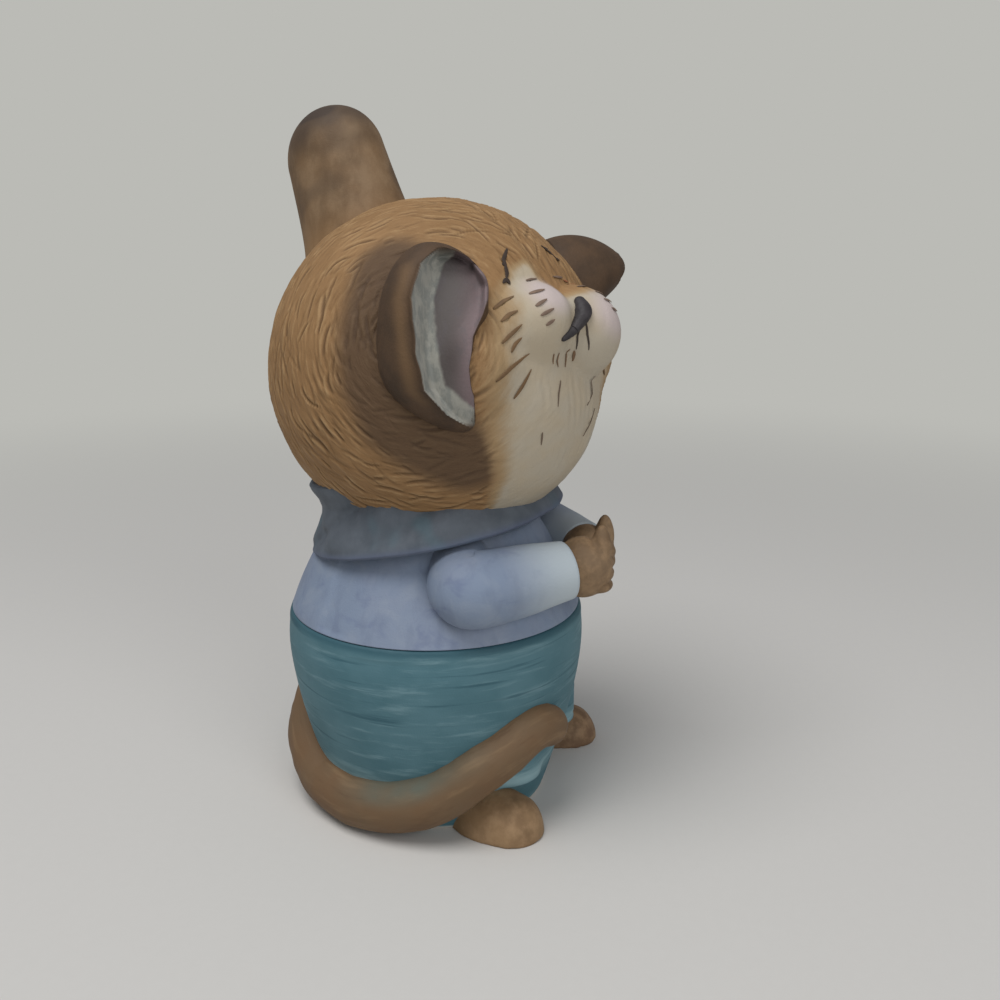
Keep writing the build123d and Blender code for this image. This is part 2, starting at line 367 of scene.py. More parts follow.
class Bench:
    """One material or sky being mixed: its nodes, the colour and the bumps laid on so far, and its
    roughness."""

    def __init__(self, name, store=None):
        self.material = (bpy.data.materials if store is None else store).new(name)
        self.material.use_nodes = True
        self.tree = self.material.node_tree
        self.tree.nodes.clear()
        self.place = self.node("ShaderNodeTexCoord")
        self.colour = self.rough = self.normal = None

    def node(self, kind, settings=None, sockets=None):
        """Adds a node: its settings first, then a value or a link for each named socket."""
        node = self.tree.nodes.new(kind)
        for key, value in (settings or {}).items():
            setattr(node, key, value)
        for key, value in (sockets or {}).items():
            socket = node.inputs[key]
            if isinstance(value, Amount):
                value = value.socket
            if isinstance(value, bpy.types.NodeSocket):
                self.tree.links.new(value, socket)
            else:
                socket.default_value = value
        return node

    def field(self, name):
        """A number stored on the piece's points."""
        return Amount(self, self.node("ShaderNodeAttribute", {"attribute_name": name}).outputs["Fac"])

    def noise(self, vector, detail=3, roughness=0.55, distortion=0.0):
        """Cloudy noise from 0 to 1, with one cloud about as wide as one unit of the vector."""
        node = self.node("ShaderNodeTexNoise", None, {"Vector": vector, "Scale": 1.0, "Detail": detail,
                                                      "Roughness": roughness, "Distortion": distortion})
        return Amount(self, node.outputs[0])

    def clouds(self, scale, *how, source="Object"):
        """Noise on coordinates multiplied by a scale, the same for all three axes or one for each."""
        scale = scale if isinstance(scale, tuple) else (scale,) * 3
        place = self.node("ShaderNodeVectorMath", {"operation": "MULTIPLY"},
                          {0: self.place.outputs[source], 1: scale})
        return self.noise(place.outputs[0], *how)

    def grain(self):
        """The fine grain of bisque."""
        return self.clouds(5200, 2)

    def mix(self, share, first, second):
        """One colour laid over another by a share."""
        node = self.node("ShaderNodeMix", {"data_type": "RGBA", "blend_type": "MIX"},
                         {0: share, 6: first, 7: second})
        return node.outputs[2]

    def lay(self, share, colour):
        """Lays a colour over what is there."""
        self.colour = self.mix(share, self.colour, colour)

    def bump(self, height, distance, strength):
        """Raises the surface by a height, over the bumps that are there."""
        under = {} if self.normal is None else {"Normal": self.normal}
        sockets = {"Height": height, "Distance": distance, "Strength": strength, **under}
        self.normal = self.node("ShaderNodeBump", None, sockets).outputs[0]

    def shader(self, specular, **sockets):
        """A matt surface, on which all but the colour, roughness and normal is constant."""
        return self.node("ShaderNodeBsdfPrincipled", None,
                         {"Base Color": self.colour, "Roughness": self.rough, "Normal": self.normal,
                          "Specular IOR Level": specular, **sockets})

    def finish(self):
        """Matt porcelain in the colour, roughness and bumps laid on."""
        shader = self.shader(0.35, IOR=1.45)
        self.node("ShaderNodeOutputMaterial", None, {"Surface": shader.outputs[0]})
        return self.material


def paint(red, green, blue):
    """A display colour from 0 to 255 as the linear colour that a shader takes."""
    def linear(c):
        c /= 255
        return c / 12.92 if c <= 0.04045 else ((c + 0.055) / 1.055) ** 2.4
    return (linear(red), linear(green), linear(blue), 1.0)


def washed(name, base, dark, light, streak=900, streak_share=0.5, grain=0.00003):
    """A matt wash of underglaze colour: broad mottling, brush streaks and the fine grain of bisque."""
    bench = Bench(name)
    broad = bench.clouds(260).between(0.32, 0.68)
    brush = bench.clouds(streak, 4, 0.6).between(0.35, 0.7)
    bench.colour = base
    bench.lay(broad * 0.55, dark)
    bench.lay(brush * streak_share, light)
    fine = bench.grain()
    bench.rough = 0.58 + fine * 0.16
    bench.bump(fine + brush * 0.6, grain, 0.7)
    return bench


def fur_paint():
    """Tan fur with a brown wash in its carved strokes and painted highlights along their ridges, painted
    shade below and behind the ear, a cream muzzle and jaw, and pinkish pads.
    """
    bench = Bench("painted_fur")
    look = bpy.context.scene.mouse_colours
    carve, ridge, cream, pad, shade = (bench.field(n) for n in ("carve", "ridge", "cream", "pad", "shade"))
    broad = bench.clouds(190)
    lay = bench.node("ShaderNodeCombineXYZ", None,
                     {0: bench.field("ring") * 2.2, 1: bench.field("along") * 0.3})
    hair = bench.noise(lay.outputs[0], 5, 0.62)
    bench.colour = tuple(look.fur)
    bench.lay(broad.between(0.35, 0.65) * 0.6, paint(134, 102, 66))
    bench.lay(hair.between(0.52, 0.72) * 0.5, paint(178, 146, 104))
    bench.lay(hair.between(0.46, 0.3) * 0.5, paint(108, 80, 50))
    # Painted highlight: lighter tan along the raised ridges beside each carved groove
    bench.lay(ridge.between(0.2, 0.9) * 0.35, paint(190, 158, 116))
    bench.lay(carve.between(0.1, 0.8) * 0.7, paint(88, 64, 40))
    # Darker brown below and behind the ear: partly its paint, partly painted shade under the ear
    bench.lay(shade * 0.82, paint(78, 60, 45))
    ragged = cream + (bench.clouds(330, 4) - 0.5) * 0.35 + (hair - 0.5) * 0.3
    bench.lay(ragged.between(0.08, 0.5) * 0.85, paint(162, 137, 102))
    pale = bench.mix(broad.between(0.4, 0.6) * 0.5, tuple(look.cream), paint(178, 162, 136))
    bench.lay(ragged.between(0.42, 0.85), pale)
    bench.lay(carve.between(0.15, 0.7) * cream * 0.5, paint(138, 112, 82))
    bench.lay(pad * 0.85, paint(192, 178, 176))
    fine = bench.grain()
    bench.rough = 0.62 + fine * 0.14
    bench.bump(hair * (1 - cream * 0.8), 0.00022, 0.8)
    bench.bump(fine, 0.00003, 0.6)
    return bench.finish()


def ear_paint(name):
    """Brown outside with a tan band along the hind rim as painted highlight, and a lilac grey hollow that is
    pale blue along its hind edge, pinker and lighter towards its front edge with painted light, and dark deep
    inside with painted shadow.
    """
    bench = Bench(name)
    inside, edge, pink, deep, band = (bench.field(n) for n in ("inside", "edge", "pink", "deep", "band"))
    broad = bench.clouds(420, 4)
    streak = bench.clouds((1100, 1100, 600), 4, 0.6)
    rim = bench.mix(streak.between(0.4, 0.6) * 0.8, paint(142, 144, 138), paint(172, 170, 160))
    # Lilac grey turning pinker and lighter towards the front edge: the ear's pink paint with painted light
    # where the front of the hollow is lit
    bench.colour = bench.mix(pink * 0.8, paint(100, 94, 92), paint(126, 108, 110))
    bench.lay(streak.between(0.5, 0.35) * 0.45, paint(104, 98, 100))
    # Painted shadow deep in the hollow, low in its middle and near its top
    bench.lay(deep * 0.8, paint(72, 64, 62))
    bench.lay((edge + (broad - 0.5) * 0.9).between(0.3, 0.75) * 0.9, rim)
    outside = bench.mix(broad.between(0.3, 0.7) * 0.7, paint(84, 64, 46), paint(63, 49, 37))
    # Painted highlight: a tan band where the outer rim is lit, just outside the hollow's hind edge
    outside = bench.mix(band * 0.6, outside, paint(118, 92, 64))
    bench.colour = bench.mix(inside, outside, bench.colour)
    fine = bench.clouds(4600)
    bench.rough = 0.6 + fine * 0.14
    bench.bump(fine + streak * 2, 0.00005, 0.7)
    return bench.finish()


def trouser_paint():
    """Teal brushed round the body in level strokes, darker along the waist edge and paler along the hem as a
    painted highlight.
    """
    bench = Bench("teal_wash")
    broad = bench.clouds((150, 150, 190)).between(0.3, 0.7)
    strokes = bench.clouds((1.1, 9.0, 1), 5, 0.65, 0.3, source="UV")
    lines = bench.clouds((0.7, 16.0, 1), 3, 0.5, source="UV")
    bench.colour = tuple(bpy.context.scene.mouse_colours.trousers)
    bench.lay(broad * 0.6, paint(92, 128, 138))
    bench.lay(strokes.between(0.5, 0.72) * 0.6, paint(120, 152, 160))
    bench.lay(lines.between(0.42, 0.3) * 0.75, paint(48, 86, 98))
    bench.lay(bench.field("waist") * 0.7, paint(38, 76, 88))
    # Painted highlight along the hem, broken up by the brush strokes
    bench.lay(bench.field("hem") * strokes.between(0.3, 0.6) * 0.7, paint(150, 180, 186))
    bench.lay(bench.field("under") * 0.9, paint(214, 208, 198))
    fine = bench.grain()
    bench.rough = 0.56 + fine * 0.16
    bench.bump(strokes, 0.00010, 0.6)
    bench.bump(fine, 0.00003, 0.6)
    return bench.finish()


def shirt_paint(name, grey, pale_field=None):
    """Pale lavender blue in cloudy patches, worn paler in places, with slate blue where the wash has
    pooled."""
    bench = Bench(name)
    broad = bench.clouds((130, 130, 170))
    patch = bench.clouds((300, 300, 420), 4, 0.55, 0.6)
    flow = bench.clouds((700, 700, 240), 4)
    bench.colour = tuple(bpy.context.scene.mouse_colours.shirt)
    bench.lay(broad.between(0.38, 0.62) * 0.7, paint(142, 152, 172))
    bench.lay(patch.between(0.50, 0.70) * 0.4, paint(156, 166, 180))
    bench.lay(patch.between(0.46, 0.28) * 0.5, paint(98, 110, 146))
    bench.lay(flow.between(0.5, 0.3) * 0.3, paint(104, 116, 142))
    bench.lay(grey, paint(114, 124, 140))
    if pale_field:
        bench.lay(bench.field(pale_field) * 0.85, paint(186, 196, 200))
    fine = bench.grain()
    bench.rough = 0.58 + fine * 0.16
    bench.bump(fine + flow * 1.5, 0.00004, 0.7)
    return bench.finish()


def limb_paint(name, base):
    """The paws' and feet's tan brown wash with a rubbed, uneven cover."""
    return washed(name, base, paint(104, 80, 56), paint(172, 142, 108), 700, grain=0.00004).finish()


def tail_paint():
    """Tan brown brushed along the tail, with a smear of teal where it lies on the trousers."""
    bench = Bench("tail_wash")
    broad = bench.clouds(200).between(0.3, 0.7)
    strokes = bench.clouds((7.0, 0.8, 1), 4, 0.6, source="UV")
    bench.colour = tuple(bpy.context.scene.mouse_colours.skin)
    bench.lay(broad * 0.6, paint(112, 84, 58))
    bench.lay(strokes.between(0.5, 0.7) * 0.5, paint(140, 114, 84))
    bench.lay(strokes.between(0.42, 0.28) * 0.6, paint(88, 66, 46))
    bench.lay(bench.field("smear") * (0.3 + broad * 0.5), paint(84, 98, 90))
    fine = bench.grain()
    bench.rough = 0.58 + fine * 0.16
    bench.bump(strokes, 0.00010, 0.7)
    bench.bump(fine, 0.00003, 0.6)
    return bench.finish()


# The body's and the head's own forms, in millimetres

BODY_Z = (0, 15.0, 21.2, 24.6, 31.0)
BODY_R = (11.8, 15.7, 15.5, 14.1, 10.6)
WALL = 2.4
LEGS, LEG_R, CUFF_Z = ((-4.6, -9.3), (9.0, -9.3)), 3.9, 4.2
VENT_R, VENT_BACK = 2.0, 3.0
NECK_R, NECK_BORE = 6.4, 3.6
HEAD_R = 17.1
HEAD_AT = np.array([0.0, -0.5, 46.0])
HEAD_TURN = turned_about("Z", -22) @ turned_about("Y", -3) @ turned_about("X", -19.5)
# Skull, jaw, left and right cheek, and the bridge of the nose: centre, radii and slope
FACE_FORMS = (
    ((0, 0, 0), (HEAD_R, HEAD_R, HEAD_R)),
    ((0, -4.2, -3.6), (12.4, 12.4, 12.4)),
    ((6.4, -9.8, -1.4), (6.4, 6.4, 6.4)),
    ((-6.4, -9.8, -1.4), (6.5, 6.5, 6.5)),
    ((0, -11.6, 3.2), (3.6, 6.6, 3.2), 26),
)
# Right and left muzzle pad
PADS = (((-2.1, -15.1, 0.5), (3.8, 4.1, 3.5)), ((3.6, -15.7, -1.1), (3.9, 4.55, 4.3)))
# Name, side, angle from the nose, flare of the top and stand off the head
EARS = (("right", -1, 45.0, 12.0, 5.22), ("left", 1, 60.0, 20.0, 8.4))
EAR_WIDTH, EAR_HEIGHT, EAR_SEAT, EAR_LEAN, EAR_RISE = 5.0, 8.6, 15.8, 16.0, 6.0
# The hollow's edges by height on the ear: heights, then places across it
EAR_HIND = ((-8.3, -6.7, -4.4, -1.1, 1.5, 3.5, 6.6, 7.5, 8.0),
            (3.5, 1.3, -0.5, -1.2, -1.5, -1.5, -0.5, 0.6, 1.2))
EAR_FORE = ((-8.3, -6.5, -5.4, -2.9, -0.3, 1.7, 4.3, 6.5, 7.5, 8.0),
            (3.6, 3.7, 3.7, 3.25, 3.5, 4.5, 5.3, 4.2, 2.6, 1.25))


def body_radius(z):
    """The body's radius at each height, a spline through five named places."""
    return through(BODY_Z, BODY_R, np.asarray(z, float))


def trouser_reach(angle, z):
    """The trousers' radius: the body's, with each round leg blended in between the cuff and the hip."""
    rays = np.stack([np.cos(angle), np.sin(angle)], -1)
    reach = [body_radius(z)]
    for leg in LEGS:
        along = rays @ np.array(leg)
        k = along ** 2 - (np.dot(leg, leg) - LEG_R ** 2)
        hit = np.where((k > 0) & (along > 0), along + np.sqrt(np.maximum(k, 0)), 0)
        held = ramp(CUFF_Z - 0.25, CUFF_Z + 0.25, z) * ramp(12.2, 8.6, z)
        reach.append(hit * held + (1 - held) * 5)
    return soft_max(reach, 0.25)


def head_reach(rays):
    """The head's radius along unit rays: a soft union of skull, jaw, cheeks and nose bridge, then of the
    pads."""
    return soft_max([star(rays, FACE_FORMS, 0.3)] + [ball_reach(rays, *pad) for pad in PADS], 0.8)


def from_head(points):
    """Points of the head's own frame in the body's: turned as the head is and moved to its centre."""
    return HEAD_AT + points @ HEAD_TURN.T


def on_head(rays, lift=0.0):
    """Points on the head's skin along rays of the head's own frame, lifted off it by a height."""
    rays = unit(rays)
    return from_head(rays * (head_reach(rays) + lift)[..., None])


def ear_out(sign, azimuth):
    """The direction in which an ear stands on the head."""
    a, e = math.radians(azimuth), math.radians(EAR_RISE)
    return np.array([sign * math.sin(a) * math.cos(e), -math.cos(a) * math.cos(e), math.sin(e)])


def round_ear(rays, sign, azimuth):
    """Distance from an ear and angle round it, for unit rays; the angle's seam points to the nose."""
    out = ear_out(sign, azimuth)
    nose = np.array([0, -1, -0.12])
    nose = unit(nose - (nose @ out) * out)
    side = np.cross(out, nose) * sign
    away = np.arccos(np.clip(rays @ out, -1, 1))
    return away, np.arctan2(-(rays @ side), -(rays @ nose))


def degrees_from(rays, direction):
    """The angle between each unit ray and a direction, in degrees."""
    return np.degrees(np.arccos(np.clip(rays @ unit(direction), -1, 1)))


def lap_of(rays):
    """The angle round the ears' axis in degrees: 0 at the nose, positive above it and negative under the
    chin."""
    return np.degrees(np.arctan2(rays[..., 2], -rays[..., 1]))


# How far the cream reaches to either side, and how soft its edge is, by lap; the pinkish middles of the pads;
# and the line down the middle of the darker brown below and behind the cheek, partly paint and partly painted
# shade under the ear
CREAM_REACH = ((-118, -100, -73, -49, -34, -18, -6, 6, 15, 21, 25),
               (0, 0.18, 0.28, 0.37, 0.44, 0.46, 0.43, 0.34, 0.27, 0.14, 0))
CREAM_SOFT = ((-60, -30, 0, 20), (0.07, 0.14, 0.17, 0.10))
PINK_AT = ((-1.6, -15.9, 2.2), (3.6, -16.1, -0.4))
SHADE_ROUTE = ((0.67, -0.57, 0.48), (0.84, -0.50, 0.20), (0.88, -0.45, -0.05), (0.84, -0.46, -0.26),
               (0.74, -0.53, -0.42), (0.56, -0.60, -0.57))


def face_masks(rays):
    """Where the head is cream, pinkish or shaded, from the lap and the distance to the side."""
    x, lap = rays[..., 0], lap_of(rays)
    bridge = (1 - ramp(0.10, 0.22, np.abs(x - 0.13))) * ramp(3, 10, lap)
    fall = ramp(26, 18, lap + 30 * x.clip(0, 1))
    within = (np.interp(lap, *CREAM_REACH) - np.abs(x)) / (2 * np.interp(lap, *CREAM_SOFT))
    cream = np.clip(0.5 + within, 0, 1) * (1 - bridge) * fall * ramp(-124, -112, lap)
    pad = np.max([1 - ramp(3.0, 9.5, degrees_from(rays, middle)) for middle in PINK_AT], 0)
    mirrored = np.stack([np.abs(x), rays[..., 1], rays[..., 2]], -1)
    route = unit(SHADE_ROUTE)
    shade = np.zeros_like(x)
    for start, end in zip(route, route[1:]):
        for t in np.linspace(0, 1, 6):
            shade = np.maximum(shade, 1 - ramp(8, 17, degrees_from(mirrored, start + t * (end - start))))
    return {"cream": cream, "pad": pad, "shade": shade * (1 - ramp(0.1, 0.5, cream))}


SHEET_ROWS, SHEET_COLUMNS, LANE_GAP = 760, 700, 0.62


def fur_sheet(radius, seed):
    """Short grooves on a sheet of distance from an ear by angle round it. Each groove is a Gaussian dip
    across with a ridge on either side and a soft window along. Returns the dips and the ridges, both from 0
    to 1."""
    rng = np.random.default_rng(seed)
    step_away, step_round = np.pi / SHEET_ROWS, 2 * np.pi / SHEET_COLUMNS
    dips, ridges = np.zeros((2, SHEET_ROWS, SHEET_COLUMNS))
    for lane in np.arange(0.06, np.pi - 0.06, LANE_GAP / radius):
        ring = radius * math.sin(lane)
        at = rng.uniform(0, 2)
        while at < 2 * np.pi * ring:
            length, width = rng.uniform(1.4, 4.6), rng.uniform(0.11, 0.21)
            depth = rng.uniform(0.3, 1.0) ** 1.4
            tilt, bend = rng.normal(0, 0.32), rng.normal(0, 0.09)
            centre, turn = lane + rng.uniform(-0.3, 0.3) / radius, at / ring
            at += length * 0.7 + rng.uniform(0.1, 1.4)
            half_away = int(1.4 / radius / step_away) + 1
            half_round = int(0.6 * length / ring / step_round) + 1
            mid_away, mid_round = int(round(centre / step_away)), int(round(turn / step_round))
            rows = np.arange(max(mid_away - half_away, 0), min(mid_away + half_away, SHEET_ROWS - 1) + 1)
            columns = np.arange(mid_round - half_round, mid_round + half_round + 1)
            if len(columns) > SHEET_COLUMNS:
                continue
            along = ring * (columns * step_round - turn)[None, :]
            across = np.abs(radius * (rows * step_away - centre)[:, None] - tilt * along - bend * along ** 2)
            window = 1 - ramp(0.2, 0.55, np.abs(along) / length)
            patch = np.ix_(rows, columns % SHEET_COLUMNS)
            dips[patch] = np.maximum(dips[patch], depth * bell(across, 0, width) * window)
            ridges[patch] = np.maximum(ridges[patch], depth * bell(across, 2.1 * width, width) * window)
    return dips, ridges


def read_sheet(sheet, away, turn):
    """A sheet read between its points, round and round in the angle."""
    p = np.clip(away / np.pi * SHEET_ROWS, 0, SHEET_ROWS - 1.001)
    q = (turn / (2 * np.pi)) % 1 * SHEET_COLUMNS
    i, j = p.astype(int), q.astype(int)
    f, g = p - i, q - j
    following = (j + 1) % SHEET_COLUMNS
    j = j % SHEET_COLUMNS
    low = sheet[i, j] * (1 - g) + sheet[i, following] * g
    high = sheet[i + 1, j] * (1 - g) + sheet[i + 1, following] * g
    return low * (1 - f) + high * f


def camera_view():
    """The camera's place, where it looks, and the directions to the right and upwards in its picture."""
    c, s, aside = math.cos(CAMERA_TURN), math.sin(CAMERA_TURN), math.atan(LOOK_ASIDE / LENS)
    level = math.cos(aside) * np.array([-s, c, 0]) + math.sin(aside) * np.array([c, s, 0])
    look = math.cos(CAMERA_DOWN) * level - math.sin(CAMERA_DOWN) * np.array([0, 0, 1])
    across = unit(np.cross(look, [0, 0, 1]))
    return np.array([CAMERA_AWAY * s, -CAMERA_AWAY * c, CAMERA_HEIGHT]), look, across, np.cross(across, look)


# The face was measured on an enlarged part of the picture: its corner in the picture, and how much it was
# enlarged
ENLARGED_CORNER, ENLARGED = (380, 220), 3.4


def seen_on_head(places):
    """Directions on the head under places of the enlarged picture. Along each line of sight, the first of
    many close steps inside the head is taken, or else the step nearest to it. The directions are kept to
    three decimals."""
    eye, look, across, up = camera_view()
    spots = np.array(places, float) / ENLARGED + ENLARGED_CORNER - PICTURE / 2
    sight = unit(look + across * spots[:, :1] / LENS - up * spots[:, 1:] / LENS)
    steps = np.linspace(60, 125, 6501)[:, None, None]
    points = (eye + steps * sight - HEAD_AT) @ HEAD_TURN
    away = np.linalg.norm(points, axis=-1)
    outside = away - head_reach(points / away[..., None])
    first = np.where((outside < 0).any(0), (outside < 0).argmax(0), outside.argmin(0))
    each = np.arange(len(spots))
    return np.round(points[first, each] / away[first, each, None], 3)


# Sizes and colours that a user would change

def colour_choice(name, description, *display):
    """A colour that a user can change, with its default as a display colour from 0 to 255."""
    return bpy.props.FloatVectorProperty(
        name=name, description=description, default=paint(*display), subtype="COLOR", size=4, min=0, max=1)


class MouseSizes(bpy.types.PropertyGroup):
    fineness: bpy.props.FloatProperty(
        name="Fineness", description="Share of the full number of points on each piece",
        default=1.0, min=0.2, max=1.0, subtype="FACTOR")
    fur_depth: bpy.props.FloatProperty(
        name="Fur depth", description="How deep the strokes of the fur are carved",
        default=0.00018, min=0, max=0.0004, unit="LENGTH")
    mark_width: bpy.props.FloatProperty(
        name="Brush mark width", description="Full width of the widest painted mark on the face",
        default=0.00042, min=0.0001, max=0.001, unit="LENGTH")


class MouseColours(bpy.types.PropertyGroup):
    fur: colour_choice("Fur", "Tan of the head's fur", 148, 114, 76)
    cream: colour_choice("Cream", "Pale colour of the muzzle and jaw", 176, 166, 148)
    shirt: colour_choice("Shirt", "Pale blue of the shirt and its sleeves", 132, 147, 170)
    trousers: colour_choice("Trousers", "Teal of the trousers", 73, 111, 121)
    skin: colour_choice("Tail", "Tan of the tail", 109, 88, 65)


class StageLook(bpy.types.PropertyGroup):
    floor: colour_choice("Floor", "Colour of the floor near the figure", 205, 203, 199)
    lamp: bpy.props.FloatProperty(
        name="Lamp", description="Power of the lamps, as a share that each lamp multiplies",
        default=0.215, min=0, max=10, unit="POWER")


def count(full):
    """A number of rows or columns, by the fineness that the user asks for."""
    return max(8, int(round(full * bpy.context.scene.mouse_sizes.fineness)))


class MakeHead(bpy.types.Operator):
    """Make the head, with carved fur, cheeks, muzzle pads and jaw"""
    bl_idname = "mouse.make_head"
    bl_label = "Make head"

    def execute(self, context):
        """Rows run from the near ear's place to the point opposite. The skin is the head's reach, raised by
        the fur's ridges, lowered by its grooves, and made a little uneven."""
        n = count(340)
        s, t = (np.arange(n) + 0.5)[:, None, None] / n * np.pi, angles(count(290))[..., None]
        pole = ear_out(-1, EARS[0][2])
        right = unit(np.cross([0, 0, 1], pole))
        rays = np.cos(s) * pole + np.sin(s) * (np.cos(t) * right + np.sin(t) * np.cross(pole, right))
        fields = face_masks(rays)
        dips, ridges = fur_sheet(HEAD_R, 11)
        near = ramp(0.5, -0.5, HEAD_R * rays[..., 0])
        bare = 1 - 0.82 * ramp(0.2, 0.8, fields["cream"])
        carve = ridge = ring = along = 0
        for (_, sign, azimuth, _, _), share in zip(EARS, (near, 1 - near)):
            away, turn = round_ear(rays, sign, azimuth)
            carve = carve + share * read_sheet(dips, away, turn)
            ridge = ridge + share * read_sheet(ridges, away, turn)
            ring = ring + share * HEAD_R * away
            along = along + share * 12 * np.abs(turn)
        carve, ridge = carve * bare, ridge * bare
        fields.update({"carve": carve, "ridge": ridge, "ring": ring, "along": along})
        height = (0.45 * ridge * (1 - carve) - carve) * context.scene.mouse_sizes.fur_depth / MM
        uneven = 0.07 * lumps(rays * 17, 2.6, 8) + 0.03 * lumps(rays * 17, 0.8, 9)
        reach = head_reach(rays) - 0.08 + height + uneven + self.jaw_grooves(rays, fields["cream"])
        poles = [from_head(pole * reach[0].mean()), from_head(-pole * reach[-1].mean())]
        rows = from_head(rays * reach[..., None])
        skin("head_fur", rows, "fur_bisque", fur_paint(), "head", poles, fields=fields)
        return {"FINISHED"}

    def jaw_grooves(self, rays, cream):
        """Faint upright grooves in the cream under the mouth: a wavering sine across the face, strong in
        patches."""
        lap, places = lap_of(rays), rays * 17
        patchy = ramp(0.0, 0.5, lumps(places * np.array([1.6, 1, 0.6]), 2.6, 13))
        waves = np.sin(120 * rays[..., 0] + 4 * lumps(places, 3.0, 12))
        return 0.08 * patchy * waves * ramp(-12, -22, lap) * ramp(-60, -40, lap) * ramp(0.8, 0.95, cream)


# Painted marks as places of the enlarged picture, each from its wide end to its fine end
MARK_PLACES = {
    "pad": (((497, 205), (533, 198)), ((507, 250), (560, 235)), ((530, 292), (568, 268)),
            ((547, 325), (592, 300)), ((565, 358), (595, 338))),
    "cheek": (((385, 303), (420, 275), (455, 258)), ((412, 345), (440, 320), (468, 308)),
              ((415, 420), (450, 385), (483, 355)), ((447, 450), (462, 420), (482, 400)),
              ((395, 550), (450, 500), (508, 455)), ((455, 608), (485, 565), (515, 508))),
    "lip": (((592, 455), (590, 490)), ((610, 452), (606, 500)),
            ((645, 440), (630, 500)), ((660, 445), (655, 480))),
    "mouth": (((680, 346), (671, 395), (667, 440)), ((695, 336), (705, 390.5), (710, 442))),
    "chin": (((615, 545), (608, 590), (605, 635)), ((733, 530), (722, 590), (705, 630)),
             ((730, 640), (715, 690), (690, 735)), ((553, 722), (548, 765))),
    "eye": (((432, 98), (420, 135), (430, 158)), ((425, 150), (432, 180), (430, 200)),
            ((432, 198), (418, 215)), ((430, 198), (442, 218)), ((415, 150), (430, 150))),
}
NOSE_PLACES = ((678, 279), (686, 313), (671, 350.5), (648, 380), (626, 402))
# Marks near the far outline, as directions in the head's own frame
FAR_MARKS = {
    "far_eye": (((0.190, -0.870, 0.452), (0.232, -0.880, 0.412), (0.262, -0.893, 0.370)),
                ((0.262, -0.893, 0.370), (0.290, -0.890, 0.355)),
                ((0.212, -0.872, 0.435), (0.238, -0.870, 0.428))),
    "brow": (((0.205, -0.959, 0.200), (0.226, -0.955, 0.180)),
             ((0.190, -0.950, 0.225), (0.235, -0.945, 0.215))),
}
# For each group: share of the full width, colour, and whether the far side has the same marks
MARK_LOOKS = {
    "pad": (0.72, (118, 98, 84), True),
    "cheek": (0.85, (108, 84, 58), True),
    "lip": (0.40, (122, 96, 72), False),
    "mouth": (0.30, (66, 56, 50), False),
    "chin": (0.36, (104, 88, 74), False),
    "eye": (0.95, (60, 49, 42), False),
    "far_eye": (0.9, (66, 52, 42), False),
    "brow": (0.7, (142, 92, 62), False),
}


class PaintMarks(bpy.types.Operator):
    """Lay the painted dashes, the closed eyes and the mouth strokes on the head as slightly raised marks"""
    bl_idname = "mouse.paint_marks"
    bl_label = "Paint marks"

    def execute(self, context):
        """The far side's marks are the near side's, mirrored in the plane x = 0.025 of the head's unit
        ball."""
        width = context.scene.mouse_sizes.mark_width / MM / 2
        for group, (share, tint, both) in MARK_LOOKS.items():
            marks = [np.array(mark) for mark in FAR_MARKS.get(group, ())]
            marks += [seen_on_head(mark) for mark in MARK_PLACES.get(group, ())]
            if both:
                marks += [mark * (-1, 1, 1) + (0.05, 0, 0) for mark in marks]
            strips = [self.strip(unit(mark), width * share) for mark in marks]
            dark, light = (tuple(c * k for c in tint) for k in (0.8, 1.2))
            bench = washed("mark_paint_" + group, paint(*tint), paint(*dark), paint(*light))
            joined("marks_" + group, strips, bench.finish())
        return {"FINISHED"}

    def strip(self, knots, half):
        """A brush mark: a lens-shaped band along the head's skin whose half width swells as a sine and tapers
        off."""
        n = 15
        place = np.linspace(0, len(knots) - 1, n)
        i = np.minimum(place.astype(int), len(knots) - 2)
        f = (place - i)[:, None]
        middle = unit(knots[i] * (1 - f) + knots[i + 1] * f)
        across = np.cross(unit(np.gradient(middle, axis=0)), middle)
        t = np.linspace(0.03, 0.97, n)[:, None]
        swell = half * np.sin(np.pi * t ** 0.8) ** 0.6 / 18
        a = angles(10)
        rays = middle[:, None] + across[:, None] * (swell * np.cos(a))[..., None]
        return on_head(rays, 0.012 + 0.035 * np.sin(a)), on_head(middle[0]), on_head(middle[-1])


class MakeNose(bpy.types.Operator):
    """Make the black nose, wedged between the muzzle pads"""
    bl_idname = "mouse.make_nose"
    bl_label = "Make nose"

    def execute(self, context):
        """A tube with a flat side down, along a spline over the skin whose lift and radius swell in the
        middle."""
        knots = range(5)
        where = np.linspace(0, 4, count(72))
        path = on_head(through(knots, unit(seen_on_head(NOSE_PLACES)), where),
                       through(knots, (0.05, 0.15, 0.15, 0.1, 0.0), where))
        radii = through(knots, (0.55, 0.8, 0.72, 0.55, 0.36), where)
        rows, ring, poles = tube(path, radii, count(44), 0.8)
        rows = rows + 0.04 * lumps(rows, 0.9, 4)[..., None] * ring
        bench = washed("nose_paint", paint(54, 50, 52), paint(38, 35, 37), paint(84, 80, 82),
                       streak_share=0.3)
        bench.rough = bench.rough - 0.1
        skin("nose_button", rows, "nose_bisque", bench.finish(), "nose", poles)
        return {"FINISHED"}


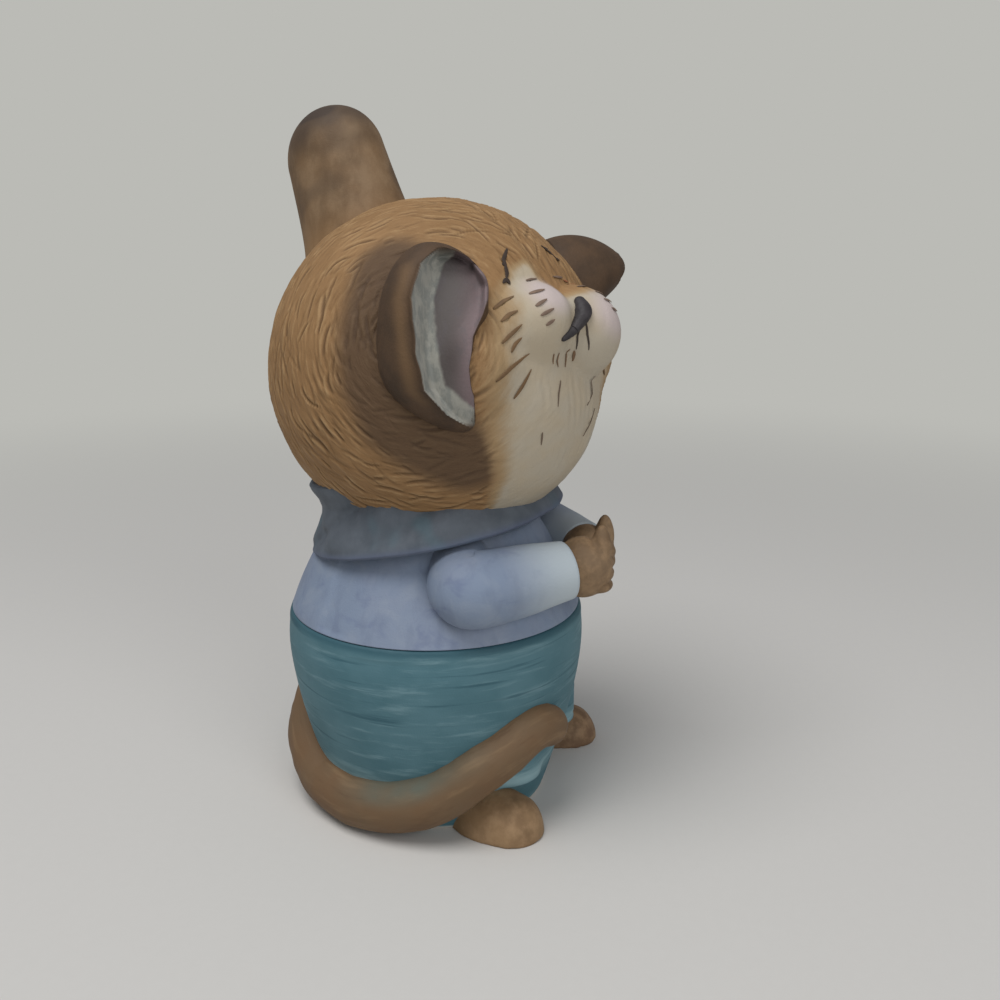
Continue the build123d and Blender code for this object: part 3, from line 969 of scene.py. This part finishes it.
class MakeEars(bpy.types.Operator):
    """Make both ears: domes luted to the head, each with a leaf-shaped hollow that faces forward"""
    bl_idname = "mouse.make_ears"
    bl_label = "Make ears"

    def execute(self, context):
        for ear in EARS:
            self.ear(*ear)
        return {"FINISHED"}

    def ear(self, side, sign, azimuth, flare, stand):
        """An ellipsoid dome less a hollow. The dome is widened in front above and drawn forward to a point
        below. Inside a leaf outline the surface sinks by a depth that rises smoothly from the rim, but it is
        lifted where that would take it under the head's own skin. The far ear sinks back into the head below
        its top."""
        out = ear_out(sign, azimuth)
        lean = math.radians(EAR_LEAN)
        across = unit(np.cross([0, -math.sin(lean), math.cos(lean)], out))
        own = np.stack([across, np.cross(out, across), out], 1) @ turned_about("X", flare)
        n = count(230)
        a, b = angles(count(200)), ((np.arange(n) + 0.6) / n)[:, None] * math.radians(112)
        x, y = EAR_WIDTH * np.sin(b) * np.cos(a), EAR_HEIGHT * np.sin(b) * np.sin(a)
        z = stand * np.cos(b) * np.ones_like(a)
        if sign > 0:
            z = z * (1 - 0.8 * ramp(6.8, -0.2, y))
        face, held = -sign * x, ramp(-2.0, 1.5, z)
        wider = (0.14 - 0.06 * sign) * (face > 0) * ramp(2.0, 5.5, y)
        narrower = 0.24 * (face > 0) * ramp(2.5, -0.5, y)
        face = face * (1 + wider - narrower * held) + 3.0 * ((-2 - y) / 6.6).clip(0, 2) ** 2 * held
        dome = np.stack([-sign * face, y, z], -1)
        hind, fore = np.interp(y, *EAR_HIND), np.interp(y, *EAR_FORE)
        fore = np.maximum(fore - 2.5 * (sign > 0), hind + 0.05)
        over = (face - (hind + fore) / 2) / ((fore - hind) / 2 + 0.02)
        inner = 1 - over ** 2 + 0.12 * lumps(dome, 1.5, 21)
        open_part = ramp(-8.2, -7.3, y) * ramp(8.0, 7.2, y) * ramp(-0.4, 0.5, z)
        inside = ramp(0.0, 0.14, inner) * open_part
        sunk = 3.3 * ramp(-0.05, 0.75, inner) * inside * (0.55 + 0.45 * ramp(-7.5, -1.0, y))
        lip = 0.30 * bell(inner, 0, 0.14) * open_part * (0.3 + 0.7 * ramp(0.15, -0.7, over))
        local = dome.copy()
        local[..., 2] += 0.08 * lumps(dome, 2.4, 22) + lip - sunk
        if sign < 0:
            local[..., 0] += 0.85 * ramp(-7.5, 3.0, y)
            local[..., 1] -= 0.55 * ramp(0, 8, y)
        for lift in range(4):
            placed = EAR_SEAT * out + local @ own.T
            reach = np.linalg.norm(placed, axis=-1)
            short = head_reach(placed / reach[..., None]) + 0.35 - reach
            short = 0.4 * np.log1p(np.exp((short / 0.4).clip(-20, 20))) if lift == 0 else short.clip(0, 5)
            local[..., 2] += short * ramp(0.02, 0.3, inside)
        rows = from_head(EAR_SEAT * out + local @ own.T)
        base = from_head(EAR_SEAT * out + own @ np.array([0, 0, local[-1, :, 2].mean()]))
        # deep: painted shadow in the hollow, a broad patch low in the middle and a small one near the top
        deep = bell(y, -1.9, 2.4) * bell(face, 1.7, 1.2) + bell(y, 6.1, 0.4) * bell(face, 3.6, 0.5)
        fields = {
            "inside": ramp(0.02, 0.10, inner) * open_part,
            "edge": np.maximum(ramp(2.3, 1.1, face - hind), ramp(-4.2, -6.2, y + 0.9 * (face - 2.2))),
            # pink: pinker paint towards the front edge, lightened there as painted light
            "pink": ramp(-0.1, 0.9, over),
            "deep": deep,
            # band: painted highlight along the outside of the hind rim
            "band": bell(face - hind, -1.1, 0.6) * ramp(-6.6, -4.0, y) * ramp(7.4, 5.8, y),
        }
        name = side + "_ear"
        material = ear_paint("painted_" + name)
        skin(name + "_cup", rows, "ear_bisque", material, name, (rows[0].mean(0), base), fields=fields)


class MakeTuft(bpy.types.Operator):
    """Make the upright lobe on the crown"""
    bl_idname = "mouse.make_tuft"
    bl_label = "Make crown tuft"
    back, low, rise = 5.6, 10.6, 19.16
    dome_low, dome_rise = 24.4, 5.38

    def execute(self, context):
        """An upright stem of oval rings that leans in as it rises, flares at its root and ends in a round
        dome. Its heights follow a sine, so that the rows lie close together at the top."""
        n = count(110)
        height = self.low + self.rise * np.sin((np.arange(n) + 0.5)[:, None] / n * np.pi / 2)
        a = angles(count(96))
        dome = np.sqrt(np.clip(1 - ((height - self.dome_low) / self.dome_rise).clip(0, 1) ** 2, 0, 1))
        lean = np.clip((height - 13) / 11.4, 0, 1)
        wide = dome * (1 + 0.08 * np.exp(-(height - 15.0).clip(0, 9) / 2.5))
        points = points_at((5.6 - 1.1 * lean) * wide * np.cos(a),
                           (6.35 - 0.4 * lean) * wide * np.sin(a) + self.back, height)
        points += 0.10 * lumps(points, 3.2, 31)[..., None] * np.array([1, 1, 0])
        poles = [from_head(np.array([0, self.back, z])) for z in (10.2, 29.77)]
        tip = ramp(23.6, 27.6, height + 1.6 * lumps(points, 2.4, 33))
        tip = tip + 0.5 * ramp(0.15, 0.7, lumps(points, 2.6, 34))
        bench = washed("tuft_paint", paint(122, 97, 70), paint(92, 73, 53), paint(148, 124, 96),
                       (520, 520, 300))
        bench.lay(bench.field("base") * 0.75, paint(142, 110, 74))
        bench.lay(bench.field("tip") * 0.8, paint(66, 54, 45))
        skin("crown_tuft_lobe", from_head(points), "tuft_bisque", bench.finish(), "crown_tuft", poles,
             fields={"tip": tip, "base": ramp(19.5, 14.5, height)})
        return {"FINISHED"}


def blended(first, last, shares):
    """Rings of points part of the way from one ring to another."""
    shares = np.asarray(shares)[:, None, None]
    return first * (1 - shares) + last * shares


class MakeTrousers(bpy.types.Operator):
    """Make the trousers, hollow, with two short legs, a flat base and a vent"""
    bl_idname = "mouse.make_trousers"
    bl_label = "Make trousers"

    def execute(self, context):
        """Rows run from the rim's inner edge down the outside, under the base, up the vent and back up the
        inside."""
        a = angles(count(256))
        cuff = np.linspace(CUFF_Z - 0.26, CUFF_Z + 0.26, 12)
        z = np.sort(np.concatenate([np.linspace(21.02, 0.22, count(170)), cuff]))[::-1][:, None]
        r = trouser_reach(a + 0 * z, z + 0 * a)
        r = r + 0.07 * lumps(around_z(r, a, z), 4.5, 41) * ramp(0.3, 2, z) * ramp(21.2, 19.5, z)
        r = r + 0.10 * bell(z, 20.5, 0.55)
        r = r - 0.10 * bell(z, 4.9, 0.35) * ramp(14.0, 15.0, r)
        rim = [around_z(r[:1] - 0.16 - drawn_in, a, 21.18) for drawn_in in (1.6, 0.0)]
        foot = [around_z(r[-1:] - drawn_in, a, height) for drawn_in, height in ((0.1, 0.06), (0.26, 0.0))]
        widths = ((0.25, 0.0), (0.04, 0.06), (0.0, 0.3), (0.0, 1.4), (0.0, 2.6))
        mouth, *vent = [around_z(VENT_R + wider, a, height) + (0, VENT_BACK, 0) for wider, height in widths]
        heights = np.linspace(2.6, 20.9, 26)[:, None]
        inner = around_z(body_radius(heights[:, 0])[:, None] - WALL, a, heights)
        base = blended(foot[-1], mouth, np.linspace(0.12, 1, 10))
        floor = blended(vent[-1], inner[:1], np.linspace(0.15, 0.95, 7))
        rows = np.concatenate([*rim, around_z(r, a, z), *foot, base, *vent, floor, inner])
        height = rows[..., 2]
        # The hem field places the painted highlight along the hem
        fields = {"waist": ramp(20.2, 20.9, height), "hem": bell(height, 5.2, 1.1),
                  "under": ramp(0.5, 0.1, height)}
        skin("trousers_cloth", rows, "trouser_bisque", trouser_paint(), "trousers", loop=True,
             uv=cloth_map(rows, 98), fields=fields)
        return {"FINISHED"}


class MakeShirt(bpy.types.Operator):
    """Make the shirt body, hollow, with the neck that the head sits on"""
    bl_idname = "mouse.make_shirt"
    bl_label = "Make shirt"

    def execute(self, context):
        """A profile turned about Z, up the outside over the neck and down the inside, with soft unevenness
        and one upright fold edge behind the right side."""
        outer_z, inner_z = np.linspace(21.3, 30.6, count(110)), np.linspace(28.3, 21.5, 10)
        profile = np.concatenate([
            np.column_stack([body_radius(outer_z), outer_z]),
            [(9.6, 31.0), (6.9, 31.05), (NECK_R, 31.4), (NECK_R, 35.9), (6.1, 36.2)],
            [(3.9, 36.2), (NECK_BORE, 35.9), (NECK_BORE, 28.6), (7.8, 28.5)],
            np.column_stack([body_radius(inner_z) - WALL, inner_z]),
            [(13.3, 21.25), (15.2, 21.22)],
        ])
        r, z, a = profile[:, :1], profile[:, 1:], angles(count(240))
        cloth = ramp(21.2, 21.9, z) * ramp(31.2, 29.5, z) * (r > 9)
        fold = 0.22 * ramp(152.0, 155.0, np.degrees(a)) * ramp(176.0, 156.0, np.degrees(a))
        r = r + cloth * (0.16 * lumps(around_z(r, a, z), 5.2, 51) - fold)
        rows = around_z(r, a, z)
        skin("shirt_body", rows, "shirt_bisque", shirt_paint("shirt_wash", 0.35), "torso", loop=True,
             uv=cloth_map(rows, 94))
        return {"FINISHED"}


COLLAR_Z, COLLAR_TILT = 34.2, -12.0
COLLAR_OUTLINE = ((13.95, -4.5), (14.1, -4.25), (13.8, -3.5), (13.15, -2.3), (12.5, -1.0), (12.1, 0.0),
                  (12.25, 0.9), (12.75, 1.9), (12.9, 2.5), (12.6, 2.8), (12.1, 2.8), (11.7, 2.4), (11.4, 1.2),
                  (11.05, 0.0), (11.5, -1.2), (12.3, -2.7), (13.2, -4.2), (13.5, -4.5))
# Each fold's angle about Z in degrees, its slope, its width in degrees and its height
COLLAR_FOLDS = ((150, -16, 7, -0.42), (172, -14, 9, 0.30), (196, -15, 7, -0.36), (214, -12, 8, 0.30),
                (120, 14, 7, -0.3), (95, 12, 9, 0.25), (60, 10, 8, -0.3), (20, -12, 8, 0.25),
                (-10, -10, 7, -0.3))


class MakeCollar(bpy.types.Operator):
    """Make the folded collar and the cape round the shoulders"""
    bl_idname = "mouse.make_collar"
    bl_label = "Make collar"

    def execute(self, context):
        """A smoothed closed outline turned about Z and tilted back, with sloping folds and a front that is
        drawn in towards the neck."""
        corners = len(COLLAR_OUTLINE)
        where = np.linspace(0, corners, 181)[:-1]
        knots = range(corners + 1)
        loop = np.stack([np.interp(where, knots, [*edge, edge[0]]) for edge in zip(*COLLAR_OUTLINE)], -1)
        for _ in range(3):
            loop = (np.roll(loop, 1, 0) + 2 * loop + np.roll(loop, -1, 0)) / 4
        r, z, a = loop[:, :1], loop[:, 1:], angles(count(260))
        turn = np.degrees(a)
        folds = 0
        for start, slope, width, size in COLLAR_FOLDS:
            away = (turn - start + slope * (z + 1) / 1.6 + 180) % 360 - 180
            folds = folds + size * bell(away, 0, width)
        r = r + folds * ramp(-4.5, -3.0, z) - 1.2 * bell((turn + 270) % 360 - 180, 0, 48)
        points = around_z(r, a, z)
        points += 0.08 * lumps(points, 3.0, 61)[..., None]
        rows = np.array([0, 0, COLLAR_Z]) + points @ turned_about("X", COLLAR_TILT).T
        # Grey blue paint, darkened by painted shade from the head above the collar
        bench = washed("collar_wash", paint(88, 95, 103), paint(72, 80, 89), paint(108, 115, 124),
                       (420, 420, 300), 0.45)
        bench.lay(bench.clouds(130, 2).between(0.56, 0.66) * 0.35, paint(88, 120, 130))
        bench.lay(bench.field("edge") * 0.5, paint(88, 98, 124))
        skin("collar_cape", rows, "collar_bisque", bench.finish(), "collar", loop=True,
             fields={"edge": bell(z, -4.3, 0.4)})
        return {"FINISHED"}


# Shoulder, elbow and wrist of the left arm, which the right arm mirrors, and how far the left arm hangs off
# them
ARM_JOINTS = ((8.0, -5.9, 28.4), (12.3, -8.2, 26.6), (4.8, -15.8, 27.4))
LEFT_ARM_SHIFT = ((0, 0, 0), (0, 0.3, -0.4), (0, 0.5, -0.6))
# Share of the arm from shoulder to wrist, in joints, and the sleeve's radius there
SLEEVE_RADII = ((0, 0.9, 1.1, 1.6, 1.95, 2.0), (3.0, 3.7, 3.75, 3.4, 2.98, 2.9))


class MakeSleeves(bpy.types.Operator):
    """Make both bent sleeves"""
    bl_idname = "mouse.make_sleeves"
    bl_label = "Make sleeves"

    def execute(self, context):
        """A tube along the joints' line with its bend smoothed, cut off at the cuff and closed by a shallow
        cone."""
        for side, sign in SIDES:
            joints = np.array(ARM_JOINTS) * (sign, 1, 1)
            if sign > 0:
                joints = joints + np.array(LEFT_ARM_SHIFT)
            t = np.linspace(0, 2, 81)
            i = np.minimum(t.astype(int), 1)
            path = joints[i] + (t - i)[:, None] * (joints[i + 1] - joints[i])
            for _ in range(60):
                path[1:-1] = (path[:-2] + 2 * path[1:-1] + path[2:]) / 4
            rows, _, poles = tube(path, np.interp(t, *SLEEVE_RADII), count(96))
            rows = rows[:-CAP_ROWS]
            rim, middle, out = rows[-1:], rows[-1].mean(0), unit(joints[2] - joints[1])
            inward = middle - rim
            closing = [rim + out * 0.05 + inward * 0.05, rim + inward * 0.12, rim + inward * 0.6]
            rows = np.concatenate([rows, *closing])
            rows = rows + 0.02 * (rows - rows.mean(1, keepdims=True)) * lumps(rows, 3.0, 71)[..., None]
            cuff = ramp(0.62, 0.95, np.linspace(0, 1, len(rows))[:, None])
            name = side + "_sleeve"
            skin(name + "_cloth", rows, "sleeve_bisque", shirt_paint(name + "_wash", 0.3, "cuff"), name,
                 (poles[0], middle), fields={"cuff": cuff})
        return {"FINISHED"}


PAW_FROM, PAW_TOWARD, PAWS_APART = (4.8, -15.8, 27.4), (12.2, -8.4, 26.5), 0.15
LEFT_PAW_SHIFT = (0.1, 1.2, -0.7)


class MakePaws(bpy.types.Operator):
    """Make both closed paws, held together"""
    bl_idname = "mouse.make_paws"
    bl_label = "Make paws"

    def execute(self, context):
        """A soft union of a fist, a thumb and three knuckles, flat where the two paws meet."""
        for side, sign in SIDES:
            wrist, elbow = np.array(PAW_FROM) * (sign, 1, 1), np.array(PAW_TOWARD) * (sign, 1, 1)
            centre = wrist + 2.0 * unit(wrist - elbow)
            if sign > 0:
                centre = centre + np.array(LEFT_PAW_SHIFT)
            centre = centre + np.array([0, 0.18, 0])
            forms = [((0, -0.15, -0.1), (2.45, 2.85, 3.1)), ((-sign * 0.2, -2.0, 2.0), (1.0, 0.95, 2.35))]
            forms += [((-sign * 0.5, -2.15, z), (1.4, 0.95, 0.66)) for z in (-1.9, -0.75, 0.4)]
            rays = ray_grid(count(100), count(120))
            reach = star(rays, forms, 0.2) + 0.07 * lumps(rays * 3, 0.9, 81)
            reach = soft_min([reach, wall_reach(-sign * rays[..., 0], abs(centre[0]) - PAWS_APART)], 0.06)
            poles = [centre + (0, 0, reach[0].mean()), centre - (0, 0, reach[-1].mean())]
            name = side + "_paw"
            material = limb_paint(name + "_paint", paint(124, 102, 78))
            skin(name + "_fist", centre + rays * reach[..., None], "paw_bisque", material, name, poles)
        return {"FINISHED"}


FOOT_SIDE, FOOT_FORWARD, FOOT_EYE, FOOT_TURN, STANCE_SHIFT = 10.5, 9.7, 1.4, 12, 2.2
FOOT_FORMS = (((0, 0, -1.4), (3.7, 5.3, 4.2)), ((0, -2.4, -1.0), (3.3, 2.7, 3.2)))
# The left foot is painted darker than the right: painted shade on the foot that stands on the side away from
# the lamps
FOOT_PAINTS = {"right": (146, 118, 86), "left": (118, 92, 70)}


class MakeFeet(bpy.types.Operator):
    """Make both feet with their flat soles"""
    bl_idname = "mouse.make_feet"
    bl_label = "Make feet"

    def execute(self, context):
        """A soft union of the foot and its toes, seen from a point inside it, and flat on the floor."""
        for side, sign in SIDES:
            centre = np.array([STANCE_SHIFT + sign * FOOT_SIDE, -FOOT_FORWARD, FOOT_EYE])
            rays = ray_grid(count(90), count(120))
            local = rays @ turned_about("Z", sign * FOOT_TURN)
            reach = star(local, FOOT_FORMS, 0.2) + 0.05 * lumps(local * 4, 1.6, 91)
            reach = soft_min([reach, wall_reach(-rays[..., 2], FOOT_EYE)], 0.05)
            rows = centre + rays * reach[..., None]
            rows[..., 2] = np.maximum(rows[..., 2], 0)
            poles = [centre + (0, 0, reach[0].mean()), centre * (1, 1, 0)]
            name = side + "_foot"
            material = limb_paint(name + "_paint", paint(*FOOT_PAINTS[side]))
            skin(name + "_loaf", rows, "foot_bisque", material, name, poles)
        return {"FINISHED"}


# The tail's places from its root behind to its tip: angle about Z, and shares of its rise, its ring and its
# radius
TAIL_RING, TAIL_R, TAIL_LOW, TAIL_TOP, TAIL_ROUND, TAIL_LENGTH = 13.1, 2.8, 2.84, 11.2, 17.0, 58.0
TAIL_TURN = (92, 114, 140, 165, 186, 203, 217, 229, 240, 250)
TAIL_RISE = (0.6, 0.28, 0, 0, 0.09, 0.28, 0.58, 0.82, 1, 0.94)
TAIL_OUT = (1.1, 1.06, 1, 1, 1.02, 1.06, 1.11, 1.15, 1.17, 1.16)
TAIL_THICK = (1.05, 1.04, 1, 1, 1, 0.98, 0.94, 0.9, 0.85, 0.76)


class MakeTail(bpy.types.Operator):
    """Make the tail, along the floor and over the right foot"""
    bl_idname = "mouse.make_tail"
    bl_label = "Make tail"

    def execute(self, context):
        """A tube on a spline round the body, kept above the floor, with a smear of paint along its inner
        upper side."""
        knots = np.arange(len(TAIL_TURN))
        where = np.linspace(0, knots[-1], count(190))
        points = around_z(TAIL_RING * np.array(TAIL_OUT), np.radians(TAIL_TURN),
                          TAIL_LOW + np.array(TAIL_RISE) * (TAIL_TOP - TAIL_LOW))
        path, radii = through(knots, points, where), through(knots, TAIL_R * np.array(TAIL_THICK), where)
        path[:, 2] = np.maximum(path[:, 2], radii)
        rows, outward, poles = tube(path, radii, count(80))
        rows = rows + outward * (0.10 * lumps(rows, 3.0, 101) + 0.05 * lumps(rows, 1.1, 102))[..., None]
        rows[..., 2] = np.maximum(rows[..., 2], 0)
        n, m = rows.shape[:2]
        inner = unit(rows * (-1, -1, 0))
        seam = ramp(0.45, 0.9, (outward * (np.array([0, 0, 0.95]) - inner * 0.3)).sum(-1))
        share = np.linspace(0, 1, n)[:, None]
        smear = seam * ramp(0.29, 0.46, share) * ramp(0.76, 0.6, share)
        skin("tail_coil", rows, "tail_bisque", tail_paint(), "tail", poles,
             uv=flat_map(m, TAIL_ROUND, np.linspace(0, TAIL_LENGTH, n)), fields={"smear": smear})
        return {"FINISHED"}


BACKDROP = paint(187, 187, 182)


class MakeStage(bpy.types.Operator):
    """Make the floor, the lamps, the room and the camera"""
    bl_idname = "mouse.make_stage"
    bl_label = "Make stage"

    def execute(self, context):
        scene = context.scene
        power = scene.mouse_stage.lamp
        self.floor(tuple(scene.mouse_stage.floor))
        self.lamp("lamp_overhead", (-0.16, 0.06, 0.42), 0.30, power * 6)
        self.lamp("lamp_front", (-0.24, -0.30, 0.20), 0.26, power * 2.2)
        scene.world = self.room()
        self.camera(scene)
        scene.view_settings.view_transform = "Standard"
        return {"FINISHED"}

    def room(self):
        """A dim sky that lights the piece, seen by the camera as the pale backdrop."""
        bench = Bench("pale_room", bpy.data.worlds)
        sky = bench.node("ShaderNodeBackground", None, {"Color": (0.86, 0.88, 0.92, 1), "Strength": 0.30})
        backdrop = bench.node("ShaderNodeBackground", None, {"Color": BACKDROP, "Strength": 1.0})
        seen = bench.node("ShaderNodeLightPath").outputs["Is Camera Ray"]
        mixed = bench.node("ShaderNodeMixShader", None, {0: seen, 1: sky.outputs[0], 2: backdrop.outputs[0]})
        bench.node("ShaderNodeOutputWorld", None, {"Surface": mixed.outputs[0]})
        return bench.material

    def floor(self, colour):
        """A level floor of 4 m that fades into the backdrop with distance, for the camera only."""
        cells, half = 40, 2.0
        place = np.linspace(-half, half, cells + 1)
        points = points_at(place[None, :], place[:, None], 0.0).reshape(-1, 3)
        i, j = np.meshgrid(np.arange(cells), np.arange(cells), indexing="ij")
        first, row = i * (cells + 1) + j, cells + 1
        quads = np.stack([first, first + 1, first + row + 1, first + row], -1).reshape(-1, 4)
        mesh = bpy.data.meshes.new("floor_sheet")
        mesh.from_pydata(points.tolist(), [], quads.tolist())
        floor = bpy.data.objects.new("floor_sheet", mesh)
        bpy.context.scene.collection.objects.link(floor)
        bench = Bench("pale_floor")
        fine = bench.clouds(900, 2)
        bench.colour, bench.rough = bench.mix(fine * 0.15, colour, paint(190, 188, 184)), 0.8
        bench.bump(fine, 0.00002, 0.3)
        shader = bench.shader(0.2)
        glow = bench.node("ShaderNodeEmission", None, {"Color": BACKDROP, "Strength": 1.0})
        seen = Amount(bench, bench.node("ShaderNodeLightPath").outputs["Is Camera Ray"])
        distance = bench.node("ShaderNodeVectorMath", {"operation": "LENGTH"},
                              {0: bench.place.outputs["Object"]})
        far = Amount(bench, distance.outputs["Value"]).between(0.06, 0.30)
        mixed = bench.node("ShaderNodeMixShader", None,
                           {0: far * seen, 1: shader.outputs[0], 2: glow.outputs[0]})
        bench.node("ShaderNodeOutputMaterial", None, {"Surface": mixed.outputs[0]})
        mesh.materials.append(bench.material)

    def lamp(self, name, place, size, power):
        """A round soft lamp that points at the figure's middle."""
        light = bpy.data.lights.new(name, "AREA")
        light.shape, light.size, light.energy = "DISK", size, power
        lamp = bpy.data.objects.new(name, light)
        lamp.location = place
        lamp.rotation_euler = (Vector((0, 0, 0.04)) - Vector(place)).to_track_quat("-Z", "Y").to_euler()
        bpy.context.scene.collection.objects.link(lamp)

    def camera(self, scene):
        """The camera near the figure, from the values at the top."""
        lens = bpy.data.cameras.new("camera")
        lens.sensor_width, lens.lens = 36, 36 * LENS / PICTURE
        lens.clip_start, lens.clip_end = 0.001, 10
        camera = bpy.data.objects.new("camera", lens)
        place, look, _, _ = camera_view()
        camera.location = place * MM
        camera.rotation_euler = Vector(look).to_track_quat("-Z", "Y").to_euler()
        scene.collection.objects.link(camera)
        scene.camera = camera


class MousePanel(bpy.types.Panel):
    """Sizes, colours and the makers of each piece"""
    bl_label = "Porcelain mouse"
    bl_idname = "VIEW3D_PT_porcelain_mouse"
    bl_space_type = "VIEW_3D"
    bl_region_type = "UI"
    bl_category = "Porcelain mouse"

    def draw(self, context):
        for group in (context.scene.mouse_sizes, context.scene.mouse_colours, context.scene.mouse_stage):
            for name in group.__annotations__:
                self.layout.prop(group, name)
        for maker in MAKERS:
            self.layout.operator(maker.bl_idname)


MAKERS = (MakeHead, PaintMarks, MakeNose, MakeEars, MakeTuft, MakeTrousers, MakeShirt, MakeCollar,
          MakeSleeves, MakePaws, MakeFeet, MakeTail, MakeStage)
GROUPS = (("mouse_sizes", MouseSizes), ("mouse_colours", MouseColours), ("mouse_stage", StageLook))


def register():
    for name, group in GROUPS:
        bpy.utils.register_class(group)
        setattr(bpy.types.Scene, name, bpy.props.PointerProperty(type=group))
    for maker in MAKERS:
        bpy.utils.register_class(maker)
    bpy.utils.register_class(MousePanel)


def unregister():
    bpy.utils.unregister_class(MousePanel)
    for maker in reversed(MAKERS):
        bpy.utils.unregister_class(maker)
    for name, group in reversed(GROUPS):
        delattr(bpy.types.Scene, name)
        bpy.utils.unregister_class(group)


def main():
    register()
    for maker in MAKERS:
        family, name = maker.bl_idname.split(".")
        getattr(getattr(bpy.ops, family), name)()
    bpy.context.view_layer.update()


if __name__ == "__main__":
    main()
